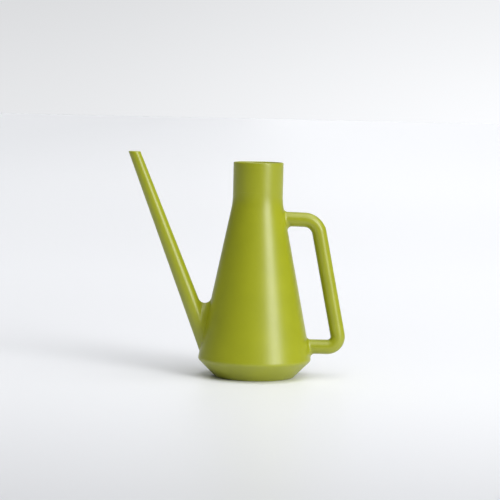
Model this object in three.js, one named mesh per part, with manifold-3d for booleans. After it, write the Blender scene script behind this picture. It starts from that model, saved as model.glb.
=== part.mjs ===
// A one-colour moulded watering can: a tall conical can on an inverted bowl, with a cylindrical neck,
// a long straight tapered spout and a bent tube handle.
// Millimetres, +Z up. The origin is the centre of the flat underside. The spout points to -X, the
// handle to +X, and the can is symmetric about the XZ plane.

import * as THREE from 'three';
import { mergeVertices } from 'three/addons/utils/BufferGeometryUtils.js';
import Module from 'manifold-3d';

const wasm = await Module();
wasm.setup();

const radians = THREE.MathUtils.degToRad;

// ---- driving dimensions -------------------------------------------------------------------------

const WALL = 3;
const FIT_GAP = 0.3;
const LAP = 5;

const MOUTH_HEIGHT = 269.5;
const LIP_ROUNDING = 1.45;
const NECK_RADIUS = 31.3;
const NECK_SEAM_HEIGHT = 232;
const SHOULDER_ROUNDING = 90;
const CONE_ANGLE = radians(11.42);
const BELLY_RADIUS = 71.22;
const BELLY_HEIGHT = 21.8;
const BELLY_ROUNDING = 5;
const BELLY_SEAM_HEIGHT = 25;
const BOWL_ANGLE = radians(45);
const FOOT_ROUNDING = 2.5;
const FLOOR_RADIUS = 42;

const SPOUT_ANGLE = radians(21.6);
const SPOUT_TIP = new THREE.Vector3(-155.6, 0, 280);
const SPOUT_TIP_RADIUS = 7;
const SPOUT_TAPER = radians(1.02);
const SPOUT_WALL = 2.4;
const SPOUT_JOINT_HEIGHT = 103;
const SPOUT_BORE_END_HEIGHT = 27;
const CROTCH_RADIUS = 8.25;
const CROTCH_HEIGHT = 91;
const WEB_THICKNESS = 13;
const WEB_FOOT_HEIGHT = 60;
const WEB_EDGE_ROUNDING = 4;

const HANDLE_RADIUS = 9.1;
const HANDLE_WALL = 2.6;
const HANDLE_CLEARANCE = 30.1;
const UPPER_ARM_HEIGHT = 199.2;
const UPPER_ARM_DROP = radians(1.4);
const LOWER_ARM_HEIGHT = 39;
const UPPER_BEND_RADIUS = 20;
const LOWER_BEND_RADIUS = 13;
const ARM_ROOT_LENGTH = 9;
const ARM_FILLET = 5;
const ARM_ROOT_DEPTH = 6;
const PLUG_LENGTH = 8;

// ---- colours ------------------------------------------------------------------------------------

const LIME = 0x9aa622;
const plastic = () => new THREE.MeshStandardMaterial({ color: LIME, roughness: 0.5, metalness: 0 });

// ---- helpers ------------------------------------------------------------------------------------

// A closed three.js geometry as a manifold solid.
function solid(geometry) {
  geometry.deleteAttribute('normal');
  geometry.deleteAttribute('uv');
  const merged = mergeVertices(geometry);
  const corner = merged.index.array;
  const triangles = [];
  for (let i = 0; i < corner.length; i += 3) {
    const [a, b, c] = [corner[i], corner[i + 1], corner[i + 2]];
    if (a !== b && b !== c && c !== a) triangles.push(a, b, c);
  }
  return new wasm.Manifold(new wasm.Mesh({
    numProp: 3,
    vertProperties: new Float32Array(merged.attributes.position.array),
    triVerts: new Uint32Array(triangles),
  }));
}

function piece(name, body) {
  const { numProp, vertProperties, triVerts } = body.getMesh();
  const positions = new Float32Array(triVerts.length * 3);
  for (let i = 0; i < triVerts.length; i += 1) {
    const start = triVerts[i] * numProp;
    positions.set(vertProperties.subarray(start, start + 3), i * 3);
  }
  const geometry = new THREE.BufferGeometry();
  geometry.setAttribute('position', new THREE.BufferAttribute(positions, 3));
  geometry.computeVertexNormals();
  const mesh = new THREE.Mesh(geometry, plastic());
  mesh.name = name;
  return mesh;
}

// An outline through [x, y, rounding] corners, each rounded corner replaced by an arc.
function rounded(corners, arcSteps) {
  const at = corners.map(([x, y]) => new THREE.Vector2(x, y));
  const outline = [];
  corners.forEach(([, , rounding = 0], i) => {
    if (rounding === 0) {
      outline.push(at[i]);
      return;
    }
    const back = at.at(i - 1).clone().sub(at[i]).normalize();
    const ahead = at[(i + 1) % at.length].clone().sub(at[i]).normalize();
    const half = Math.acos(back.dot(ahead)) / 2;
    const bisector = back.clone().add(ahead).normalize();
    const centre = at[i].clone().addScaledVector(bisector, rounding / Math.sin(half));
    const start = at[i].clone().addScaledVector(back, rounding / Math.tan(half)).sub(centre);
    const end = at[i].clone().addScaledVector(ahead, rounding / Math.tan(half)).sub(centre);
    const turn = Math.atan2(start.cross(end), start.dot(end));
    for (let step = 0; step <= arcSteps; step += 1) {
      const angle = (turn * step) / arcSteps;
      outline.push(start.clone().rotateAround(new THREE.Vector2(), angle).add(centre));
    }
  });
  return outline;
}

// A solid of revolution about +Z. The [radius, height] outline runs anticlockwise and closes on itself.
function turned(outline, segments) {
  const closed = [...outline, outline[0].clone()];
  return new THREE.LatheGeometry(closed, segments).rotateX(Math.PI / 2);
}

const points = (pairs) => pairs.map(([x, y]) => new THREE.Vector2(x, y));

// A regular polygon with the given number of sides, as the points of a circle.
function ring(radius, sides) {
  return Array.from({ length: sides }, (_, i) => {
    const angle = (2 * Math.PI * i) / sides;
    return new THREE.Vector2(radius * Math.cos(angle), radius * Math.sin(angle));
  });
}

// ---- the can's outline --------------------------------------------------------------------------

const BODY_SEGMENTS = 64;
const BODY_ARC_STEPS = 4;
const LIP_ARC_STEPS = 3;

const coneRadius = (height) => BELLY_RADIUS - (height - BELLY_HEIGHT) * Math.tan(CONE_ANGLE);
const shoulderHeight = BELLY_HEIGHT + (BELLY_RADIUS - NECK_RADIUS) / Math.tan(CONE_ANGLE);
const footRadius = BELLY_RADIUS - BELLY_HEIGHT * Math.tan(BOWL_ANGLE);

// Radii of the inside, one wall in from the outside, measured along each wall's own normal.
const innerConeRadius = (height) => coneRadius(height) - WALL / Math.cos(CONE_ANGLE);
const innerNeckRadius = NECK_RADIUS - WALL;
const innerBowlRadius = (height) => footRadius - WALL / Math.cos(BOWL_ANGLE) + height * Math.tan(BOWL_ANGLE);
const innerShoulderHeight = shoulderHeight - WALL * Math.tan(CONE_ANGLE / 2);
const innerBellyHeight = (innerConeRadius(0) - innerBowlRadius(0))
  / (Math.tan(BOWL_ANGLE) + Math.tan(CONE_ANGLE));

// The whole outside as a plain solid, grown by a gap: what stands against the can is cut with it.
function canOutside(gap) {
  const slope = gap / Math.cos(CONE_ANGLE);
  return solid(turned(rounded([
    [0, -gap],
    [footRadius, -gap],
    [BELLY_RADIUS + gap, BELLY_HEIGHT - gap, BELLY_ROUNDING],
    [NECK_RADIUS + gap, shoulderHeight + (slope - gap) / Math.tan(CONE_ANGLE), SHOULDER_ROUNDING],
    [NECK_RADIUS + gap, MOUTH_HEIGHT],
    [0, MOUTH_HEIGHT],
  ], BODY_ARC_STEPS), BODY_SEGMENTS));
}

// ---- the spout's own axis -----------------------------------------------------------------------

const SPOUT_SEGMENTS = 28;
const SADDLE_STEPS = 8;

const spoutLengthTo = (height) => (SPOUT_TIP.z - height) / Math.cos(SPOUT_ANGLE);
const spoutRadius = (length) => SPOUT_TIP_RADIUS + length * Math.tan(SPOUT_TAPER);
const spoutBore = (length) => spoutRadius(length) - SPOUT_WALL;
const jointLength = spoutLengthTo(SPOUT_JOINT_HEIGHT);
const boreEndLength = spoutLengthTo(SPOUT_BORE_END_HEIGHT);
const tipOverrun = 6;

// Turned about the spout's axis. Outline heights are minus the length down from the tip.
function spoutTurned(outline) {
  const geometry = turned(outline, SPOUT_SEGMENTS);
  geometry.rotateY(-SPOUT_ANGLE);
  return solid(geometry.translate(SPOUT_TIP.x, SPOUT_TIP.y, SPOUT_TIP.z));
}

const spoutWaterway = spoutTurned(points([
  [0, -boreEndLength],
  [spoutBore(boreEndLength), -boreEndLength],
  [spoutBore(-tipOverrun), tipOverrun],
  [0, tipOverrun],
]));

// ---- the can: neck, cone, bowl and floor --------------------------------------------------------

const lapRadius = NECK_RADIUS - WALL / 2;

function neckCollar() {
  const foot = NECK_SEAM_HEIGHT + FIT_GAP / 2;
  return solid(turned(rounded([
    [innerNeckRadius, NECK_SEAM_HEIGHT - LAP],
    [lapRadius - FIT_GAP / 2, NECK_SEAM_HEIGHT - LAP],
    [lapRadius - FIT_GAP / 2, foot],
    [NECK_RADIUS, foot],
    [NECK_RADIUS, MOUTH_HEIGHT, LIP_ROUNDING],
    [innerNeckRadius, MOUTH_HEIGHT, LIP_ROUNDING],
  ], LIP_ARC_STEPS), BODY_SEGMENTS));
}

const bellyLapRadius = (height) => coneRadius(height) - WALL / 2;

function bodyCone() {
  const top = NECK_SEAM_HEIGHT - FIT_GAP / 2;
  const foot = BELLY_SEAM_HEIGHT + FIT_GAP / 2;
  const lapTop = BELLY_SEAM_HEIGHT + LAP + FIT_GAP;
  const shell = solid(turned(rounded([
    [bellyLapRadius(foot) + FIT_GAP / 2, foot],
    [coneRadius(foot), foot],
    [NECK_RADIUS, shoulderHeight, SHOULDER_ROUNDING],
    [NECK_RADIUS, top],
    [lapRadius + FIT_GAP / 2, top],
    [lapRadius + FIT_GAP / 2, NECK_SEAM_HEIGHT - LAP - FIT_GAP],
    [innerNeckRadius, NECK_SEAM_HEIGHT - LAP - FIT_GAP],
    [innerNeckRadius, innerShoulderHeight],
    [innerConeRadius(lapTop), lapTop],
    [bellyLapRadius(lapTop) + FIT_GAP / 2, lapTop],
  ], BODY_ARC_STEPS), BODY_SEGMENTS));
  return shell.subtract(spoutWaterway);
}

const floorSeat = WALL / 2;

function baseBowl() {
  const rim = BELLY_SEAM_HEIGHT - FIT_GAP / 2;
  const lapTop = BELLY_SEAM_HEIGHT + LAP;
  return solid(turned(rounded([
    [FLOOR_RADIUS, 0],
    [footRadius, 0, FOOT_ROUNDING],
    [BELLY_RADIUS, BELLY_HEIGHT, BELLY_ROUNDING],
    [coneRadius(rim), rim],
    [bellyLapRadius(rim) - FIT_GAP / 2, rim],
    [bellyLapRadius(lapTop) - FIT_GAP / 2, lapTop],
    [innerConeRadius(lapTop), lapTop],
    [innerConeRadius(innerBellyHeight), innerBellyHeight],
    [innerBowlRadius(WALL), WALL],
    [FLOOR_RADIUS - WALL, WALL],
    [FLOOR_RADIUS - WALL, floorSeat],
    [FLOOR_RADIUS, floorSeat],
  ], BODY_ARC_STEPS), BODY_SEGMENTS));
}

function baseDisc() {
  return solid(turned(points([
    [0, 0],
    [FLOOR_RADIUS - FIT_GAP, 0],
    [FLOOR_RADIUS - FIT_GAP, floorSeat - FIT_GAP / 2],
    [FLOOR_RADIUS - WALL - FIT_GAP, floorSeat - FIT_GAP / 2],
    [FLOOR_RADIUS - WALL - FIT_GAP, WALL],
    [0, WALL],
  ]), BODY_SEGMENTS));
}

// ---- the spout: root with its web, and tube -----------------------------------------------------

const spoutLap = (length) => spoutRadius(length) - SPOUT_WALL / 2;

function spoutTube() {
  const seam = jointLength - FIT_GAP / 2;
  const seat = jointLength - LAP - FIT_GAP;
  const tube = spoutTurned(points([
    [spoutLap(seam) + FIT_GAP / 2, -seam],
    [spoutRadius(seam), -seam],
    [spoutRadius(-tipOverrun), tipOverrun],
    [spoutBore(-tipOverrun), tipOverrun],
    [spoutBore(seat), -seat],
    [spoutLap(seat) + FIT_GAP / 2, -seat],
  ]));
  return tube.trimByPlane([0, 0, -1], -SPOUT_TIP.z);
}

// The web that closes the valley between spout and cone, with a round saddle on its top. Its two long
// sides lie well inside the spout and inside the can, where they are cut away.
function spoutWeb() {
  const axisX = (height) => SPOUT_TIP.x + spoutLengthTo(height) * Math.sin(SPOUT_ANGLE);
  const saddleHeight = CROTCH_HEIGHT + CROTCH_RADIUS;
  const spoutSide = axisX(saddleHeight) + spoutRadius(spoutLengthTo(saddleHeight)) / Math.cos(SPOUT_ANGLE);
  const saddleX = (spoutSide - coneRadius(saddleHeight)) / 2;
  const saddleCentre = new THREE.Vector2(saddleX, saddleHeight);
  const saddle = ring(CROTCH_RADIUS, 2 * SADDLE_STEPS)
    .slice(0, SADDLE_STEPS + 1)
    .map((point) => new THREE.Vector2(point.x, -point.y).add(saddleCentre));
  const outline = new THREE.Shape([
    new THREE.Vector2(axisX(WEB_FOOT_HEIGHT), WEB_FOOT_HEIGHT),
    new THREE.Vector2(-coneRadius(WEB_FOOT_HEIGHT) + WEB_THICKNESS, WEB_FOOT_HEIGHT),
    new THREE.Vector2(-coneRadius(saddleHeight) + WEB_THICKNESS, saddleHeight),
    ...saddle,
    new THREE.Vector2(axisX(saddleHeight), saddleHeight),
  ]);
  const geometry = new THREE.ExtrudeGeometry(outline, {
    depth: WEB_THICKNESS - 2 * WEB_EDGE_ROUNDING,
    bevelThickness: WEB_EDGE_ROUNDING,
    bevelSize: WEB_EDGE_ROUNDING,
    bevelOffset: -WEB_EDGE_ROUNDING,
    bevelSegments: 3,
  });
  geometry.translate(0, 0, WEB_EDGE_ROUNDING - WEB_THICKNESS / 2);
  return solid(geometry.rotateX(Math.PI / 2));
}

function spoutRoot() {
  const seam = jointLength + FIT_GAP / 2;
  const lapEnd = jointLength - LAP;
  const rod = spoutTurned(points([
    [0, -boreEndLength],
    [spoutRadius(boreEndLength), -boreEndLength],
    [spoutRadius(seam), -seam],
    [spoutLap(seam) - FIT_GAP / 2, -seam],
    [spoutLap(lapEnd) - FIT_GAP / 2, -lapEnd],
    [0, -lapEnd],
  ]));
  return rod.add(spoutWeb()).subtract(canOutside(FIT_GAP)).subtract(spoutWaterway);
}

// ---- the handle: two arm roots and one bent tube -------------------------------------------------

const HANDLE_SIDES = 18;
const HANDLE_BORE_SIDES = 10;
const HANDLE_STEPS = 38;
const ARM_ROOT_SEGMENTS = 24;
const FILLET_STEPS = 6;
const FLARE_STEP = 0.1;
const STRAIGHT_END = 1;

// The grip runs parallel to the cone's side, one clearance away from it.
const gripCentre = (height) => coneRadius(height) + HANDLE_CLEARANCE + HANDLE_RADIUS / Math.cos(CONE_ANGLE);
const upperArmRise = (x) => (coneRadius(UPPER_ARM_HEIGHT) - x) * Math.tan(UPPER_ARM_DROP);
const upperArmHeight = (x) => UPPER_ARM_HEIGHT + upperArmRise(x);

const upperSeam = coneRadius(UPPER_ARM_HEIGHT) + ARM_ROOT_LENGTH;
const lowerSeam = coneRadius(LOWER_ARM_HEIGHT) + ARM_ROOT_LENGTH;

// A circular arc in the XZ plane that rounds the corner between two straight runs.
class Bend extends THREE.Curve {
  constructor(from, corner, to, radius) {
    super();
    const back = from.clone().sub(corner).normalize();
    const ahead = to.clone().sub(corner).normalize();
    const half = back.angleTo(ahead) / 2;
    const bisector = back.clone().add(ahead).normalize();
    this.centre = corner.clone().addScaledVector(bisector, radius / Math.sin(half));
    this.start = corner.clone().addScaledVector(back, radius / Math.tan(half));
    this.end = corner.clone().addScaledVector(ahead, radius / Math.tan(half));
    this.turn = Math.PI - 2 * half;
  }

  getPoint(t, target = new THREE.Vector3()) {
    const arm = this.start.clone().sub(this.centre);
    const normal = arm.clone().cross(this.end.clone().sub(this.centre)).normalize();
    return target.copy(arm.applyAxisAngle(normal, this.turn * t)).add(this.centre);
  }
}

function handlePath() {
  const cornerHeight = upperArmHeight(gripCentre(UPPER_ARM_HEIGHT));
  const top = new THREE.Vector3(upperSeam + FIT_GAP / 2, 0, upperArmHeight(upperSeam));
  const topCorner = new THREE.Vector3(gripCentre(cornerHeight), 0, cornerHeight);
  const lowCorner = new THREE.Vector3(gripCentre(LOWER_ARM_HEIGHT), 0, LOWER_ARM_HEIGHT);
  const low = new THREE.Vector3(lowerSeam + FIT_GAP / 2, 0, LOWER_ARM_HEIGHT);
  const upperBend = new Bend(top, topCorner, lowCorner, UPPER_BEND_RADIUS);
  const lowerBend = new Bend(topCorner, lowCorner, low, LOWER_BEND_RADIUS);
  const path = new THREE.CurvePath();
  path.add(new THREE.LineCurve3(top, upperBend.start));
  path.add(upperBend);
  path.add(new THREE.LineCurve3(upperBend.end, lowerBend.start));
  path.add(lowerBend);
  path.add(new THREE.LineCurve3(lowerBend.end, low));
  return path;
}

function handleTube() {
  const section = new THREE.Shape(ring(HANDLE_RADIUS, HANDLE_SIDES));
  section.holes.push(new THREE.Path(ring(HANDLE_RADIUS - HANDLE_WALL, HANDLE_BORE_SIDES).reverse()));
  return solid(new THREE.ExtrudeGeometry(section, { steps: HANDLE_STEPS, extrudePath: handlePath() }));
}

// A root stands on the cone with a fillet all round and holds the tube's end on a plug.
function armRoot(height, seam, drop) {
  const plugRadius = (HANDLE_RADIUS - HANDLE_WALL) * Math.cos(Math.PI / HANDLE_BORE_SIDES) - FIT_GAP;
  const footStart = seam - ARM_ROOT_LENGTH;
  const bentLength = ARM_ROOT_LENGTH - STRAIGHT_END;
  const geometry = turned(rounded([
    [0, -ARM_ROOT_DEPTH],
    [HANDLE_RADIUS + ARM_FILLET, -ARM_ROOT_DEPTH],
    [HANDLE_RADIUS + ARM_FILLET, 0],
    [HANDLE_RADIUS, 0, ARM_FILLET - FLARE_STEP],
    [HANDLE_RADIUS, ARM_ROOT_LENGTH - FIT_GAP / 2],
    [plugRadius, ARM_ROOT_LENGTH - FIT_GAP / 2],
    [plugRadius, ARM_ROOT_LENGTH + PLUG_LENGTH],
    [0, ARM_ROOT_LENGTH + PLUG_LENGTH],
  ], FILLET_STEPS), ARM_ROOT_SEGMENTS);
  geometry.rotateY(Math.PI / 2 + drop).translate(footStart, 0, height);
  // The flared foot follows the round, sloping wall: each point moves by the wall's own offset there.
  const position = geometry.attributes.position;
  for (let i = 0; i < position.count; i += 1) {
    const [x, y, z] = [position.getX(i), position.getY(i), position.getZ(i)];
    const wall = Math.sqrt(coneRadius(z) ** 2 - y ** 2);
    const share = THREE.MathUtils.clamp((footStart + bentLength - x) / bentLength, 0, 1);
    position.setX(i, x + (wall - footStart) * share);
  }
  return solid(geometry).subtract(canOutside(FIT_GAP));
}

// ---- assembly -----------------------------------------------------------------------------------

const wateringCan = new THREE.Group();
wateringCan.name = 'watering_can';
wateringCan.add(
  piece('neck_collar', neckCollar()),
  piece('body_cone', bodyCone()),
  piece('base_bowl', baseBowl()),
  piece('base_disc', baseDisc()),
  piece('spout_root', spoutRoot()),
  piece('spout_tube', spoutTube()),
  piece('handle_upper_root', armRoot(UPPER_ARM_HEIGHT, upperSeam, UPPER_ARM_DROP)),
  piece('handle_lower_root', armRoot(LOWER_ARM_HEIGHT, lowerSeam, 0)),
  piece('handle_tube', handleTube()),
);

export default wateringCan;
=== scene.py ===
"""A lime green moulded watering can on a pale studio floor.

Metres, +Z up. The origin is the centre of the flat underside. The spout points to -X, the handle to +X.
"""

import math

import bmesh
import bpy
from mathutils import Matrix, Vector


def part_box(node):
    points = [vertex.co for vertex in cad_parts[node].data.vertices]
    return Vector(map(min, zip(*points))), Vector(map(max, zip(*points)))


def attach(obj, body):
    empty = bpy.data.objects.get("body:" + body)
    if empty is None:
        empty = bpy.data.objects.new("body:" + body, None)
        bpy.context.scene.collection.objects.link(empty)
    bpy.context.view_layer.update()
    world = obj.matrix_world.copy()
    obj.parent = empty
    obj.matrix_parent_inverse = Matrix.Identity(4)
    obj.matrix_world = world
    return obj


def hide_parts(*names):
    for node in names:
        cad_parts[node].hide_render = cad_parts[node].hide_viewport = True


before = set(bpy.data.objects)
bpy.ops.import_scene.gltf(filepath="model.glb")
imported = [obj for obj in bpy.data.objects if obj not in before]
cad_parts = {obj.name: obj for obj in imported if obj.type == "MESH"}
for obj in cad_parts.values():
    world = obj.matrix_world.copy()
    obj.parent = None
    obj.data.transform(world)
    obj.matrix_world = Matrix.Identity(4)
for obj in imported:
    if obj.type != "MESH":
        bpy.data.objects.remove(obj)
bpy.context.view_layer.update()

MM = 0.001

# ---- the can's dimensions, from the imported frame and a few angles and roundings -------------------

WALL = 3.0 * MM
SEAM = 0.02 * MM
LAP = 5.0 * MM
FIT_GAP = 0.3 * MM

CONE_ANGLE = math.radians(11.42)
BOWL_ANGLE = math.radians(45)
BELLY_HEIGHT = 21.8 * MM
BELLY_ROUNDING = 5.0 * MM
SHOULDER_ROUNDING = 90.0 * MM
INNER_SHOULDER_ROUNDING = 18.0 * MM
FOOT_ROUNDING = 2.5 * MM
LIP_ROUNDING = 1.45 * MM
FLOOR_RADIUS = 42.0 * MM

neck_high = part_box("neck_collar")[1]
cone_low, cone_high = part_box("body_cone")
NECK_RADIUS = neck_high.x
MOUTH_HEIGHT = neck_high.z
NECK_SEAM_HEIGHT = cone_high.z + FIT_GAP / 2
BELLY_SEAM_HEIGHT = cone_low.z - FIT_GAP / 2

SPOUT_ANGLE = math.radians(21.6)
SPOUT_TIP_RADIUS = 7.0 * MM
SPOUT_TAPER = math.radians(1.02)
SPOUT_WALL = 2.4 * MM
SPOUT_LIP = 0.7 * MM
SPOUT_JOINT_HEIGHT = 103.0 * MM
SPOUT_FOOT_HEIGHT = 20.0 * MM
WATERWAY_TOP = 90.0 * MM
WATERWAY_FOOT = 27.0 * MM
CROTCH_RADIUS = 8.25 * MM
SIDE_FILLET_SHARE = 0.35
spout_low, spout_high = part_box("spout_tube")
TIP_SLOPE = math.cos(SPOUT_ANGLE) + math.sin(SPOUT_ANGLE) * math.tan(SPOUT_TAPER)
SPOUT_TIP = Vector((spout_low.x + SPOUT_TIP_RADIUS / TIP_SLOPE, 0.0, spout_high.z))

HANDLE_RADIUS = 9.1 * MM
HANDLE_WALL = 2.6 * MM
HANDLE_CLEARANCE = 30.1 * MM
UPPER_ARM_HEIGHT = 199.2 * MM
UPPER_ARM_DROP = math.radians(1.4)
LOWER_ARM_HEIGHT = 39.0 * MM
UPPER_BEND_RADIUS = 20.0 * MM
LOWER_BEND_RADIUS = 13.0 * MM
ARM_ROOT_LENGTH = 9.0 * MM
ARM_FILLET = 5.0 * MM
PLUG_LENGTH = 8.0 * MM
PLUG_CHAMFER = 0.5 * MM

# ---- how finely the meshes are cut ---------------------------------------------------------------

BODY_SEGMENTS = 192
SPOUT_SEGMENTS = 72
HANDLE_SEGMENTS = 56
WATERWAY_SEGMENTS = 64
LONGEST_RUN = 5.0 * MM
CORNER_STEPS = 10
CONE_CORNER_STEPS = 16
BEND_STEPS = 20
FILLET_STEPS = 12
LIP_STEPS = 8
ROOT_STEPS = 15
SPOUT_OUTER_STEPS = 39
SPOUT_INNER_STEPS = 37
ARM_STEPS = 5
FOOT_STEPS = 7
SOLVE_STEPS = 60
WELD = 0.002 * MM
CUT_WELD = 0.005 * MM
SHARP_ANGLE = math.radians(35)
PARALLEL = 1e-5
SAME_POINT = 1e-9

# ---- camera, floor and light ---------------------------------------------------------------------

CAMERA_PLACE = Vector((0.0, -2.5, 0.3506))
CAMERA_YAW = math.radians(-0.1932)
CAMERA_PITCH = math.radians(4.3793)
CAMERA_ROLL = math.radians(1.2417)
CAMERA_LENS = 143.88
CAMERA_SENSOR = 36.0
CAMERA_REACH = 200.0

# Azimuths are degrees clockwise from +Y, seen from above. Elevations are degrees above the floor.
KEY_AZIMUTH = 135
KEY_DISTANCE = 4.5
KEY_WIDTH = 1.85
KEY_HEIGHT = 3.8
KEY_LIFT = 0.42
KEY_POWER = 176
OVERHEAD_AZIMUTH = 135
OVERHEAD_ELEVATION = 66
OVERHEAD_SPREAD = 75
OVERHEAD_POWER = 1.9
OVERHEAD_DISTANCE = 3

# Ramps are (from low, from high, to low, to high).
WORLD_COLOUR = (0.97, 0.98, 1.0, 1)
BACKDROP_RAMP = (0.77, 0.975, 0.0, 0.855)
BACKDROP_UPWARDS_RAMP = (-0.02, 0.07, 1.0, 0.865)
BACKDROP_SIDEWAYS_RAMP = (-0.16, 0.16, 0.86, 1.10)
CEILING_RAMP = (0.45, 0.9, 0.08, 0.6)

FLOOR_HALF_WIDTH = 30.0
FLOOR_COLOUR = (0.87, 0.88, 0.905)
# The floor colour's ramps are painted light: lighter to the right and at the back, with painted shade
# toward the front.
FLOOR_PAINTED_LIGHT_SIDEWAYS_RAMP = (-0.45, 0.45, 0.945, 1.02)
FLOOR_PAINTED_SHADE_FRONT_RAMP = (-2.2, 0.1, 0.2, 1.0)
FLOOR_PAINTED_LIGHT_BACK_RAMP = (0.0, 1.6, 1.0, 1.09)
FLOOR_ROUGHNESS = 0.42
FLOOR_SPECULAR = 0.28
# The floor's painted glow: emission at the back of the floor, stronger to the right.
PAINTED_GLOW_BACK_RAMP = (0.3, 6.0, 0.0, 0.1)
PAINTED_GLOW_SIDEWAYS_RAMP = (-2.0, 1.0, 0.2, 1.15)

# ---- the plastic ---------------------------------------------------------------------------------

LIME = (0.302, 0.326, 0.006)
LIME_DARKER = (0.95, 0.955, 0.9)
LIME_LIGHTER = (1.04, 1.035, 1.1)
PLASTIC_IOR = 1.62
CLOUD_SCALE = 28.0
CLOUD_DETAIL = 4.0
CLOUD_EDGES = (0.3, 0.7)
SHEEN_SCALE = 160.0
SHEEN_DETAIL = 5.0
ROUGHNESS_RANGE = (0.31, 0.40)
GRAIN_SCALE = 2600.0
GRAIN_DETAIL = 2.0
GRAIN_STRENGTH = 0.35
GRAIN_DEPTH = 0.02 * MM
SCUFFED_LIME = (0.40, 0.42, 0.12)
SCUFF_SCALE = 420.0
SCUFF_DETAIL = 6.0
SCUFF_HEIGHT_RAMP = (0.0, 3.0 * MM, 1.0, 0.0)
SCUFF_RAMP = (0.48, 0.62, 0.0, 0.5)
SCUFF_DULLING = 0.3


# ---- camera, floor and light: making them --------------------------------------------------------

def add_camera():
    """A long lens in front of the can, a little above it and rolled by about a degree."""
    ahead = Vector((
        math.sin(CAMERA_YAW) * math.cos(CAMERA_PITCH),
        math.cos(CAMERA_YAW) * math.cos(CAMERA_PITCH),
        -math.sin(CAMERA_PITCH),
    ))
    level = Vector((math.cos(CAMERA_YAW), -math.sin(CAMERA_YAW), 0.0))
    above = level.cross(ahead)
    right = level * math.cos(CAMERA_ROLL) + above * math.sin(CAMERA_ROLL)
    up = above * math.cos(CAMERA_ROLL) - level * math.sin(CAMERA_ROLL)
    data = bpy.data.cameras.new("camera")
    data.lens = CAMERA_LENS
    data.sensor_width = CAMERA_SENSOR
    data.clip_end = CAMERA_REACH
    camera = bpy.data.objects.new("camera", data)
    turn = Matrix((right, up, -ahead)).transposed().to_4x4()
    camera.matrix_world = Matrix.Translation(CAMERA_PLACE) @ turn
    bpy.context.scene.collection.objects.link(camera)
    bpy.context.scene.camera = camera


def towards(azimuth, elevation):
    """The direction from the can at an azimuth and an elevation."""
    a, e = math.radians(azimuth), math.radians(elevation)
    return Vector((math.sin(a) * math.cos(e), math.cos(a) * math.cos(e), math.sin(e)))


def add_lamp(name, data, place, direction):
    """A lamp at a place, shining against a direction."""
    lamp = bpy.data.objects.new(name, data)
    turn = direction.to_track_quat("Z", "Y").to_matrix().to_4x4()
    lamp.matrix_world = Matrix.Translation(place) @ turn
    bpy.context.scene.collection.objects.link(lamp)


def add_key():
    """A tall softbox just above the floor, to the right of the camera."""
    data = bpy.data.lights.new("key_softbox", "AREA")
    data.shape = "RECTANGLE"
    data.size = KEY_WIDTH
    data.size_y = KEY_HEIGHT
    data.energy = KEY_POWER
    direction = towards(KEY_AZIMUTH, 0)
    place = direction * KEY_DISTANCE + Vector((0, 0, KEY_HEIGHT / 2 + KEY_LIFT))
    add_lamp("key_softbox", data, place, direction)


def add_overhead():
    """A wide, even softbox high above the can."""
    data = bpy.data.lights.new("overhead_softbox", "SUN")
    data.angle = math.radians(OVERHEAD_SPREAD)
    data.energy = OVERHEAD_POWER
    direction = towards(OVERHEAD_AZIMUTH, OVERHEAD_ELEVATION)
    add_lamp("overhead_softbox", data, direction * OVERHEAD_DISTANCE, direction)


def node(tree, kind, **settings):
    """A new shader node with its settings."""
    made = tree.nodes.new(kind)
    for key, value in settings.items():
        setattr(made, key, value)
    return made


def mapped(tree, value, low, high, to_low, to_high):
    """A smooth ramp between two values."""
    ramp = node(tree, "ShaderNodeMapRange", interpolation_type="SMOOTHSTEP")
    ramp.inputs["From Min"].default_value = low
    ramp.inputs["From Max"].default_value = high
    ramp.inputs["To Min"].default_value = to_low
    ramp.inputs["To Max"].default_value = to_high
    tree.links.new(value, ramp.inputs["Value"])
    return ramp.outputs["Result"]


def maths(tree, operation, a, b):
    """The sum or product of two values, each a socket or a number."""
    step = node(tree, "ShaderNodeMath", operation=operation)
    for socket, value in zip(step.inputs, (a, b)):
        if isinstance(value, (int, float)):
            socket.default_value = value
        else:
            tree.links.new(value, socket)
    return step.outputs["Value"]


def coordinates(tree, kind):
    """The X, Y and Z sockets of a texture coordinate."""
    place = node(tree, "ShaderNodeTexCoord")
    split = node(tree, "ShaderNodeSeparateXYZ")
    tree.links.new(place.outputs[kind], split.inputs["Vector"])
    return split.outputs


def add_world():
    """A lit backdrop behind the can, a dim ceiling and dark sides."""
    world = bpy.data.worlds.new("studio")
    world.use_nodes = True
    tree = world.node_tree
    background = tree.nodes["Background"]
    background.inputs["Color"].default_value = WORLD_COLOUR
    direction = coordinates(tree, "Generated")
    backdrop = mapped(tree, direction["Y"], *BACKDROP_RAMP)
    upwards = mapped(tree, direction["Z"], *BACKDROP_UPWARDS_RAMP)
    sideways = mapped(tree, direction["X"], *BACKDROP_SIDEWAYS_RAMP)
    ceiling = mapped(tree, direction["Z"], *CEILING_RAMP)
    shaded = maths(tree, "MULTIPLY", maths(tree, "MULTIPLY", backdrop, upwards), sideways)
    tree.links.new(maths(tree, "ADD", shaded, ceiling), background.inputs["Strength"])
    bpy.context.scene.world = world


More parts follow.
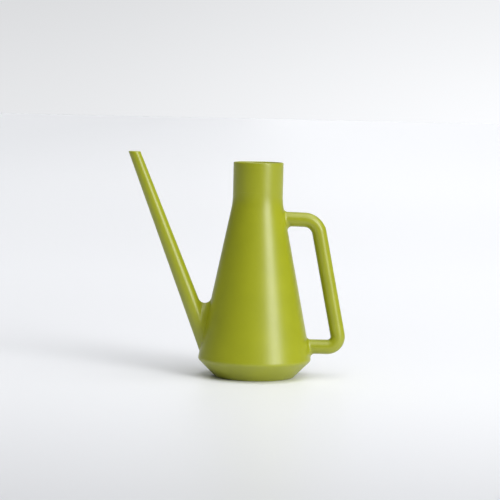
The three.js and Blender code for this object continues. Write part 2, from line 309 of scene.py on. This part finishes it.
def studio_paper():
    """Pale paper whose colour carries painted light: lighter to the right, toward the key light, and at
    the back, with painted shade toward the front; the back of the floor glows with a faint painted haze
    that joins the backdrop.
    """
    material = bpy.data.materials.new("studio_paper")
    material.use_nodes = True
    tree = material.node_tree
    shader = tree.nodes["Principled BSDF"]
    place = coordinates(tree, "Object")
    # Painted light and shade in the paper's colour: lighter to the right and at the back, darker toward
    # the front.
    sideways = mapped(tree, place["X"], *FLOOR_PAINTED_LIGHT_SIDEWAYS_RAMP)
    painted_front_shade = mapped(tree, place["Y"], *FLOOR_PAINTED_SHADE_FRONT_RAMP)
    back = mapped(tree, place["Y"], *FLOOR_PAINTED_LIGHT_BACK_RAMP)
    floor_colour_with_painted_light = node(tree, "ShaderNodeVectorMath", operation="SCALE")
    floor_colour_with_painted_light.inputs[0].default_value = FLOOR_COLOUR
    depth = maths(tree, "MULTIPLY", painted_front_shade, back)
    tree.links.new(maths(tree, "MULTIPLY", sideways, depth), floor_colour_with_painted_light.inputs["Scale"])
    tree.links.new(floor_colour_with_painted_light.outputs["Vector"], shader.inputs["Base Color"])
    # Painted glow: the back of the floor emits light, more toward the right, fading into the backdrop.
    painted_glow = mapped(tree, place["Y"], *PAINTED_GLOW_BACK_RAMP)
    painted_glow_spread = mapped(tree, place["X"], *PAINTED_GLOW_SIDEWAYS_RAMP)
    tree.links.new(maths(tree, "MULTIPLY", painted_glow, painted_glow_spread), shader.inputs["Emission Strength"])
    shader.inputs["Emission Color"].default_value = WORLD_COLOUR
    shader.inputs["Roughness"].default_value = FLOOR_ROUGHNESS
    shader.inputs["Specular IOR Level"].default_value = FLOOR_SPECULAR
    return material


def add_floor():
    """A wide flat floor."""
    half = FLOOR_HALF_WIDTH
    mesh = bpy.data.meshes.new("studio_floor")
    corners = [(-half, -half, 0), (half, -half, 0), (half, half, 0), (-half, half, 0)]
    mesh.from_pydata(corners, [], [(0, 1, 2, 3)])
    mesh.materials.append(studio_paper())
    floor = bpy.data.objects.new("studio_floor", mesh)
    bpy.context.scene.collection.objects.link(floor)


# ---- the plastic: making it ----------------------------------------------------------------------

def noise(tree, place, scale, detail):
    """The strength of a noise pattern in the can's own coordinates."""
    pattern = node(tree, "ShaderNodeTexNoise")
    pattern.inputs["Scale"].default_value = scale
    pattern.inputs["Detail"].default_value = detail
    tree.links.new(place.outputs["Object"], pattern.inputs["Vector"])
    return pattern.outputs["Fac"]


def shaded_lime(shades):
    """Lime with each channel scaled."""
    return (*(channel * shade for channel, shade in zip(LIME, shades)), 1)


def lime_plastic():
    """Satin polypropylene: moulded grain, a faint cloudiness, an uneven sheen and a scuffed foot."""
    material = bpy.data.materials.new("lime_plastic")
    material.use_nodes = True
    tree = material.node_tree
    shader = tree.nodes["Principled BSDF"]
    shader.inputs["IOR"].default_value = PLASTIC_IOR
    shader.inputs["Base Color"].default_value = (*LIME, 1)
    place = node(tree, "ShaderNodeTexCoord")

    tint = node(tree, "ShaderNodeValToRGB")
    for stop, edge, shades in zip(tint.color_ramp.elements, CLOUD_EDGES, (LIME_DARKER, LIME_LIGHTER)):
        stop.position = edge
        stop.color = shaded_lime(shades)
    tree.links.new(noise(tree, place, CLOUD_SCALE, CLOUD_DETAIL), tint.inputs["Fac"])

    foot = mapped(tree, coordinates(tree, "Object")["Z"], *SCUFF_HEIGHT_RAMP)
    scuffs = mapped(tree, noise(tree, place, SCUFF_SCALE, SCUFF_DETAIL), *SCUFF_RAMP)
    worn = maths(tree, "MULTIPLY", foot, scuffs)
    faded = node(tree, "ShaderNodeMix", data_type="RGBA")
    faded.inputs["B"].default_value = (*SCUFFED_LIME, 1)
    tree.links.new(worn, faded.inputs["Factor"])
    tree.links.new(tint.outputs["Color"], faded.inputs["A"])
    tree.links.new(faded.outputs["Result"], shader.inputs["Base Color"])

    gloss = node(tree, "ShaderNodeMapRange")
    gloss.inputs["To Min"].default_value, gloss.inputs["To Max"].default_value = ROUGHNESS_RANGE
    tree.links.new(noise(tree, place, SHEEN_SCALE, SHEEN_DETAIL), gloss.inputs["Value"])
    dulled = maths(tree, "MULTIPLY", worn, SCUFF_DULLING)
    roughness = maths(tree, "ADD", gloss.outputs["Result"], dulled)
    tree.links.new(roughness, shader.inputs["Roughness"])

    bump = node(tree, "ShaderNodeBump")
    bump.inputs["Strength"].default_value = GRAIN_STRENGTH
    bump.inputs["Distance"].default_value = GRAIN_DEPTH
    tree.links.new(noise(tree, place, GRAIN_SCALE, GRAIN_DETAIL), bump.inputs["Height"])
    tree.links.new(bump.outputs["Normal"], shader.inputs["Normal"])
    return material


PLASTIC = lime_plastic()


# ---- mesh helpers --------------------------------------------------------------------------------

def welded(mesh, distance):
    """Joins points that lie together and turns all faces outwards."""
    work = bmesh.new()
    work.from_mesh(mesh)
    bmesh.ops.remove_doubles(work, verts=work.verts, dist=distance)
    bmesh.ops.dissolve_degenerate(work, edges=work.edges, dist=distance)
    bmesh.ops.recalc_face_normals(work, faces=work.faces)
    work.to_mesh(mesh)
    work.free()


def finished(name, vertices, faces, replaced):
    """A closed, smooth-shaded piece that rides on the can and stands for a CAD node."""
    mesh = bpy.data.meshes.new(name)
    mesh.from_pydata([tuple(v) for v in vertices], [], faces)
    welded(mesh, WELD)
    mesh.shade_smooth()
    mesh.set_sharp_from_angle(angle=SHARP_ANGLE)
    mesh.materials.append(PLASTIC)
    piece = bpy.data.objects.new(name, mesh)
    bpy.context.scene.collection.objects.link(piece)
    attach(piece, "root")
    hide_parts(replaced)
    return piece


def fractions(count):
    """Evenly spaced numbers from 0 to 1."""
    return [k / count for k in range(count + 1)]


def circle(count):
    """Evenly spaced angles once round."""
    return [2 * math.pi * i / count for i in range(count)]


def grid_faces(rows, columns, wrap_columns=True):
    """Quads between rings of points. The rings close on themselves."""
    faces = []
    for i in range(rows):
        for j in range(columns if wrap_columns else columns - 1):
            here, after = i * columns, ((i + 1) % rows) * columns
            beside = (j + 1) % columns
            faces.append((here + j, here + beside, after + beside, after + j))
    return faces


def rounded(corners, steps=CORNER_STEPS):
    """An outline through (x, y, rounding) corners. Each rounded corner becomes an arc."""
    outline = []
    count = len(corners)
    for i, corner in enumerate(corners):
        at = Vector(corner[:2])
        rounding = corner[2] if len(corner) > 2 else 0.0
        if rounding == 0.0:
            outline.append(at)
            continue
        back = (Vector(corners[i - 1][:2]) - at).normalized()
        ahead = (Vector(corners[(i + 1) % count][:2]) - at).normalized()
        half = back.angle(ahead) / 2
        centre = at + (back + ahead).normalized() * (rounding / math.sin(half))
        start = at + back * (rounding / math.tan(half)) - centre
        end = at + ahead * (rounding / math.tan(half)) - centre
        turn = math.atan2(start.x * end.y - start.y * end.x, start.dot(end))
        for step in range(steps + 1):
            angle = turn * step / steps
            c, s = math.cos(angle), math.sin(angle)
            outline.append(centre + Vector((start.x * c - start.y * s, start.x * s + start.y * c)))
    return outline


def filled(outline):
    """The closed outline with its long straight runs cut into shorter ones."""
    points = []
    for i, a in enumerate(outline):
        b = outline[(i + 1) % len(outline)]
        cuts = max(1, math.ceil((b - a).length / LONGEST_RUN))
        points += [a.lerp(b, k / cuts) for k in range(cuts)]
    return points


def turned(name, outline, replaced):
    """A solid of revolution about Z, from a closed (radius, height) outline."""
    points = filled(outline)
    vertices = []
    for angle in circle(BODY_SEGMENTS):
        vertices += [(p.x * math.cos(angle), p.x * math.sin(angle), p.y) for p in points]
    return finished(name, vertices, grid_faces(BODY_SEGMENTS, len(points)), replaced)


def solve(function, low, high):
    """The root of a function that is above zero at low and below zero at high."""
    for _ in range(SOLVE_STEPS):
        middle = (low + high) / 2
        if function(middle) > 0:
            low = middle
        else:
            high = middle
    return (low + high) / 2


# ---- the can's outline ---------------------------------------------------------------------------

def cone_radius(height):
    """Radius of the cone's outside at a height."""
    return cone_high.x - (height - cone_low.z) * math.tan(CONE_ANGLE)


def inner_cone_radius(height):
    return cone_radius(height) - WALL / math.cos(CONE_ANGLE)


def inner_bowl_radius(height):
    return FOOT_RADIUS - WALL / math.cos(BOWL_ANGLE) + height * math.tan(BOWL_ANGLE)


def belly_lap_radius(height):
    return cone_radius(height) - WALL / 2


BELLY_RADIUS = cone_radius(BELLY_HEIGHT)
FOOT_RADIUS = BELLY_RADIUS - BELLY_HEIGHT * math.tan(BOWL_ANGLE)
SHOULDER_HEIGHT = BELLY_HEIGHT + (BELLY_RADIUS - NECK_RADIUS) / math.tan(CONE_ANGLE)
NECK_LAP_RADIUS = NECK_RADIUS - WALL / 2
INNER_NECK_RADIUS = NECK_RADIUS - WALL


def cone_gap(point):
    """Distance from a point outside the can to the cone's surface."""
    return (math.hypot(point.x, point.y) - cone_radius(point.z)) * math.cos(CONE_ANGLE)


def cone_normal(point):
    """The cone's outward normal nearest to a point."""
    out = Vector((point.x, point.y, 0.0)).normalized()
    return out * math.cos(CONE_ANGLE) + Vector((0.0, 0.0, math.sin(CONE_ANGLE)))


def onto_cone(point, lift):
    """The point moved square to the cone's surface until it stands that far off it."""
    return point + cone_normal(point) * (lift - cone_gap(point))


def fillet(point_at, normal, radius, low, high):
    """A rolling-ball fillet between a straight line of points on a tube and the cone.

    point_at gives the line's point at a length, and normal is the tube's normal there. Returns the length
    at which the ball touches the tube, and the arc's points from the tube to the cone."""
    reach = solve(lambda s: cone_gap(point_at(s) + normal * radius) - radius, low, high)
    centre = point_at(reach) + normal * radius
    first, last = -normal, -cone_normal(centre)
    between = first.angle(last, 0.0)
    arc = []
    for t in fractions(FILLET_STEPS):
        if between < PARALLEL:
            ray = first.lerp(last, t)
        else:
            ray = first * math.sin((1 - t) * between) + last * math.sin(t * between)
            ray = ray / math.sin(between)
        arc.append(centre + ray * radius)
    return reach, arc


# ---- the can: neck, cone, bowl and floor ---------------------------------------------------------

def build_neck():
    skirt = NECK_SEAM_HEIGHT - LAP
    seam = NECK_SEAM_HEIGHT + SEAM / 2
    lap = NECK_LAP_RADIUS - FIT_GAP / 2
    turned("neck", rounded([
        (INNER_NECK_RADIUS, skirt),
        (lap, skirt),
        (lap, seam),
        (NECK_RADIUS, seam),
        (NECK_RADIUS, MOUTH_HEIGHT, LIP_ROUNDING),
        (INNER_NECK_RADIUS, MOUTH_HEIGHT, LIP_ROUNDING),
    ]), "neck_collar")


def build_cone():
    top = NECK_SEAM_HEIGHT - SEAM / 2
    foot = BELLY_SEAM_HEIGHT + SEAM / 2
    ledge = NECK_SEAM_HEIGHT - LAP - FIT_GAP
    lap = NECK_LAP_RADIUS + FIT_GAP / 2
    lap_top = BELLY_SEAM_HEIGHT + LAP + FIT_GAP
    inner_shoulder = SHOULDER_HEIGHT - WALL * math.tan(CONE_ANGLE / 2)
    shell = turned("cone_shell", rounded([
        (belly_lap_radius(foot) + FIT_GAP / 2, foot),
        (cone_radius(foot), foot),
        (NECK_RADIUS, SHOULDER_HEIGHT, SHOULDER_ROUNDING),
        (NECK_RADIUS, top),
        (lap, top),
        (lap, ledge),
        (INNER_NECK_RADIUS, ledge),
        (INNER_NECK_RADIUS, inner_shoulder, INNER_SHOULDER_ROUNDING),
        (inner_cone_radius(lap_top), lap_top),
        (belly_lap_radius(lap_top) + FIT_GAP / 2, lap_top),
    ], CONE_CORNER_STEPS), "body_cone")
    cut_waterway(shell)


def build_bowl():
    rim = BELLY_SEAM_HEIGHT - SEAM / 2
    lap_top = BELLY_SEAM_HEIGHT + LAP
    slopes = math.tan(BOWL_ANGLE) + math.tan(CONE_ANGLE)
    inner_belly = (inner_cone_radius(0) - inner_bowl_radius(0)) / slopes
    turned("bowl", rounded([
        (FLOOR_RADIUS, 0),
        (FOOT_RADIUS, 0, FOOT_ROUNDING),
        (BELLY_RADIUS, BELLY_HEIGHT, BELLY_ROUNDING),
        (cone_radius(rim), rim),
        (belly_lap_radius(rim) - FIT_GAP / 2, rim),
        (belly_lap_radius(lap_top) - FIT_GAP / 2, lap_top),
        (inner_cone_radius(lap_top), lap_top),
        (inner_cone_radius(inner_belly), inner_belly, WALL / 2),
        (inner_bowl_radius(WALL), WALL, FOOT_ROUNDING),
        (FLOOR_RADIUS - WALL, WALL),
        (FLOOR_RADIUS - WALL, WALL / 2),
        (FLOOR_RADIUS, WALL / 2),
    ]), "base_bowl")


def build_floor_disc():
    edge = FLOOR_RADIUS - SEAM
    step = FLOOR_RADIUS - WALL - SEAM
    turned("floor_disc", rounded([
        (0, 0),
        (edge, 0),
        (edge, WALL / 2 - SEAM),
        (step, WALL / 2 - SEAM),
        (step, WALL),
        (0, WALL),
    ]), "base_disc")


# ---- the spout -----------------------------------------------------------------------------------

SPOUT_DOWN = Vector((math.sin(SPOUT_ANGLE), 0.0, -math.cos(SPOUT_ANGLE)))
SPOUT_SIDE = Vector((math.cos(SPOUT_ANGLE), 0.0, math.sin(SPOUT_ANGLE)))
ACROSS = Vector((0.0, 1.0, 0.0))


def spout_length_to(height):
    """Length down the spout's axis from its tip to a height."""
    return (SPOUT_TIP.z - height) / math.cos(SPOUT_ANGLE)


def spout_radial(angle):
    """The direction square to the spout's axis. Angle 0 faces the can."""
    return SPOUT_SIDE * math.cos(angle) + ACROSS * math.sin(angle)


def spout_point(length, angle, depth):
    """A point at a length down the spout and a depth under its outer surface."""
    radius = SPOUT_TIP_RADIUS + length * math.tan(SPOUT_TAPER) - depth
    return SPOUT_TIP + SPOUT_DOWN * length + spout_radial(angle) * radius


def spout_line(angle, depth):
    """The points of a straight line down the spout, as a function of the length."""
    return lambda length: spout_point(length, angle, depth)


def spout_normal(angle):
    return spout_radial(angle) * math.cos(SPOUT_TAPER) - SPOUT_DOWN * math.sin(SPOUT_TAPER)


def run(line, start, end, count):
    """Evenly spaced points along a line from one length to another."""
    return [line(start + (end - start) * t) for t in fractions(count)]


def cut_waterway(shell):
    """Cuts the spout's bore through the cone's wall."""
    vertices = []
    for height in (WATERWAY_TOP, WATERWAY_FOOT):
        length = spout_length_to(height)
        vertices += [spout_point(length, angle, SPOUT_WALL) for angle in circle(WATERWAY_SEGMENTS)]
    count = WATERWAY_SEGMENTS
    faces = [(i, (i + 1) % count, count + (i + 1) % count, count + i) for i in range(count)]
    faces.append(tuple(range(count)))
    faces.append(tuple(range(2 * count - 1, count - 1, -1)))
    mesh = bpy.data.meshes.new("waterway")
    mesh.from_pydata([tuple(v) for v in vertices], [], faces)
    welded(mesh, WELD)
    cutter = bpy.data.objects.new("waterway", mesh)
    bpy.context.scene.collection.objects.link(cutter)
    cut = shell.modifiers.new("waterway", "BOOLEAN")
    cut.object = cutter
    cut.operation = "DIFFERENCE"
    cut.solver = "EXACT"
    with bpy.context.temp_override(object=shell, active_object=shell, selected_objects=[shell]):
        bpy.ops.object.modifier_apply(modifier=cut.name)
    bpy.data.objects.remove(cutter)
    welded(shell.data, CUT_WELD)


def spout_fillet_radius(angle):
    """Largest in the crotch that faces the can, smaller round the sides."""
    facing = (1 + math.cos(angle)) / 2
    return CROTCH_RADIUS * (SIDE_FILLET_SHARE + (1 - SIDE_FILLET_SHARE) * facing)


def build_spout_root():
    joint = spout_length_to(SPOUT_JOINT_HEIGHT)
    longest = spout_length_to(SPOUT_FOOT_HEIGHT)
    seam = joint + SEAM / 2
    rings = []
    for angle in circle(SPOUT_SEGMENTS):
        outside = spout_line(angle, 0.0)
        inside = spout_line(angle, SPOUT_WALL)
        lap = spout_line(angle, SPOUT_WALL / 2 + FIT_GAP / 2)
        radius = spout_fillet_radius(angle)
        reach, arc = fillet(outside, spout_normal(angle), radius, joint, longest)
        bore_foot = solve(lambda s: cone_gap(inside(s)) - SEAM, joint, longest)
        foot_outer, foot_inner = arc[-1], inside(bore_foot)
        rings += run(outside, seam, reach, ROOT_STEPS)[:-1]
        rings += arc
        rings += [onto_cone(foot_outer.lerp(foot_inner, t), SEAM) for t in fractions(FOOT_STEPS)[1:]]
        rings += run(inside, bore_foot, joint - LAP, ROOT_STEPS)[1:]
        rings += [lap(joint - LAP), lap(seam)]
    faces = grid_faces(SPOUT_SEGMENTS, len(rings) // SPOUT_SEGMENTS)
    finished("spout_foot", rings, faces, "spout_root")


def build_spout():
    joint = spout_length_to(SPOUT_JOINT_HEIGHT) - SEAM / 2
    seat = spout_length_to(SPOUT_JOINT_HEIGHT) - LAP - FIT_GAP
    edge = SPOUT_TIP.z - SPOUT_LIP
    above_tip, below_tip = -0.01, 0.02
    rings = []
    for angle in circle(SPOUT_SEGMENTS):
        outside = spout_line(angle, 0.0)
        inside = spout_line(angle, SPOUT_WALL)
        lap = spout_line(angle, SPOUT_WALL / 2 - FIT_GAP / 2)
        top_out = solve(lambda s: outside(s).z - edge, above_tip, below_tip)
        top_in = solve(lambda s: inside(s).z - edge, above_tip, below_tip)
        middle = (outside(top_out) + inside(top_in)) / 2
        half = (outside(top_out) - inside(top_in)) / 2
        rings += run(outside, joint, top_out, SPOUT_OUTER_STEPS)
        for t in fractions(LIP_STEPS)[1:-1]:
            turn = math.pi * t
            rings.append(middle + half * math.cos(turn) + Vector((0, 0, SPOUT_LIP * math.sin(turn))))
        rings += run(inside, top_in, seat, SPOUT_INNER_STEPS)
        rings += [lap(seat), lap(joint)]
    faces = grid_faces(SPOUT_SEGMENTS, len(rings) // SPOUT_SEGMENTS)
    finished("spout", rings, faces, "spout_tube")


# ---- the handle ----------------------------------------------------------------------------------

UPPER_SEAM = cone_radius(UPPER_ARM_HEIGHT) + ARM_ROOT_LENGTH
LOWER_SEAM = cone_radius(LOWER_ARM_HEIGHT) + ARM_ROOT_LENGTH


def grip_centre(height):
    """Distance of the grip's centreline from the can's axis at a height."""
    return cone_radius(height) + HANDLE_CLEARANCE + HANDLE_RADIUS / math.cos(CONE_ANGLE)


def upper_arm_height(x):
    return UPPER_ARM_HEIGHT - (x - cone_radius(UPPER_ARM_HEIGHT)) * math.tan(UPPER_ARM_DROP)


def handle_path():
    """Centreline points of the tube from its upper seam to its lower seam, in (x, z)."""
    corner_height = upper_arm_height(grip_centre(UPPER_ARM_HEIGHT))
    corners = [
        (UPPER_SEAM, upper_arm_height(UPPER_SEAM)),
        (grip_centre(corner_height), corner_height, UPPER_BEND_RADIUS),
        (grip_centre(LOWER_ARM_HEIGHT), LOWER_ARM_HEIGHT, LOWER_BEND_RADIUS),
        (LOWER_SEAM, LOWER_ARM_HEIGHT),
    ]
    points = filled(rounded(corners, BEND_STEPS))
    last = Vector(corners[-1])
    end = next(i for i, point in enumerate(points) if (point - last).length < SAME_POINT)
    return points[:end + 1]


def build_handle():
    path = handle_path()
    last = len(path) - 1
    directions = []
    for i in range(len(path)):
        directions.append((path[min(i + 1, last)] - path[max(i - 1, 0)]).normalized())
    path[0] = path[0] + directions[0] * SEAM / 2
    path[-1] = path[-1] - directions[-1] * SEAM / 2
    vertices = []
    for angle in circle(HANDLE_SEGMENTS):
        outer, inner = [], []
        for point, direction in zip(path, directions):
            centre = Vector((point.x, 0.0, point.y))
            side = Vector((-direction.y, 0.0, direction.x))
            radial = side * math.cos(angle) + ACROSS * math.sin(angle)
            outer.append(centre + radial * HANDLE_RADIUS)
            inner.append(centre + radial * (HANDLE_RADIUS - HANDLE_WALL))
        vertices += outer + inner[::-1]
    finished("handle_grip", vertices, grid_faces(HANDLE_SEGMENTS, 2 * len(path)), "handle_tube")


def build_arm_root(name, height, seam_x, drop, replaced):
    """A short arm with a fillet all round its foot on the cone, and a plug for the tube."""
    out = Vector((math.cos(drop), 0.0, -math.sin(drop)))
    side = Vector((math.sin(drop), 0.0, math.cos(drop)))
    start = Vector((seam_x, 0.0, height - ARM_ROOT_LENGTH * math.tan(drop)))
    middle = Vector((cone_radius(height), 0.0, height))
    plug_radius = HANDLE_RADIUS - HANDLE_WALL - FIT_GAP
    plug_end = start + out * PLUG_LENGTH
    chamfer_foot = start + out * (PLUG_LENGTH - PLUG_CHAMFER)
    seam = SEAM / 2
    past_cone = 60.0 * MM
    rings = []
    for angle in circle(HANDLE_SEGMENTS):
        radial = side * math.cos(angle) + ACROSS * math.sin(angle)
        outside = lambda s: start - out * s + radial * HANDLE_RADIUS
        reach, arc = fillet(outside, radial, ARM_FILLET, 0.0, past_cone)
        rings += [plug_end, plug_end + radial * (plug_radius - PLUG_CHAMFER)]
        rings += [chamfer_foot + radial * plug_radius, start - out * seam + radial * plug_radius]
        rings += run(outside, seam, reach, ARM_STEPS)[:-1]
        rings += arc
        rings += [onto_cone(arc[-1].lerp(middle, t), SEAM) for t in fractions(FOOT_STEPS)[1:]]
    faces = grid_faces(HANDLE_SEGMENTS, len(rings) // HANDLE_SEGMENTS, wrap_columns=False)
    finished(name, rings, faces, replaced)


# ---- assembly ------------------------------------------------------------------------------------

add_camera()
add_floor()
add_key()
add_overhead()
add_world()
bpy.context.scene.view_settings.view_transform = "Standard"
build_neck()
build_cone()
build_bowl()
build_floor_disc()
build_spout_root()
build_spout()
build_arm_root("handle_root_upper", UPPER_ARM_HEIGHT, UPPER_SEAM, UPPER_ARM_DROP, "handle_upper_root")
build_arm_root("handle_root_lower", LOWER_ARM_HEIGHT, LOWER_SEAM, 0.0, "handle_lower_root")
build_handle()
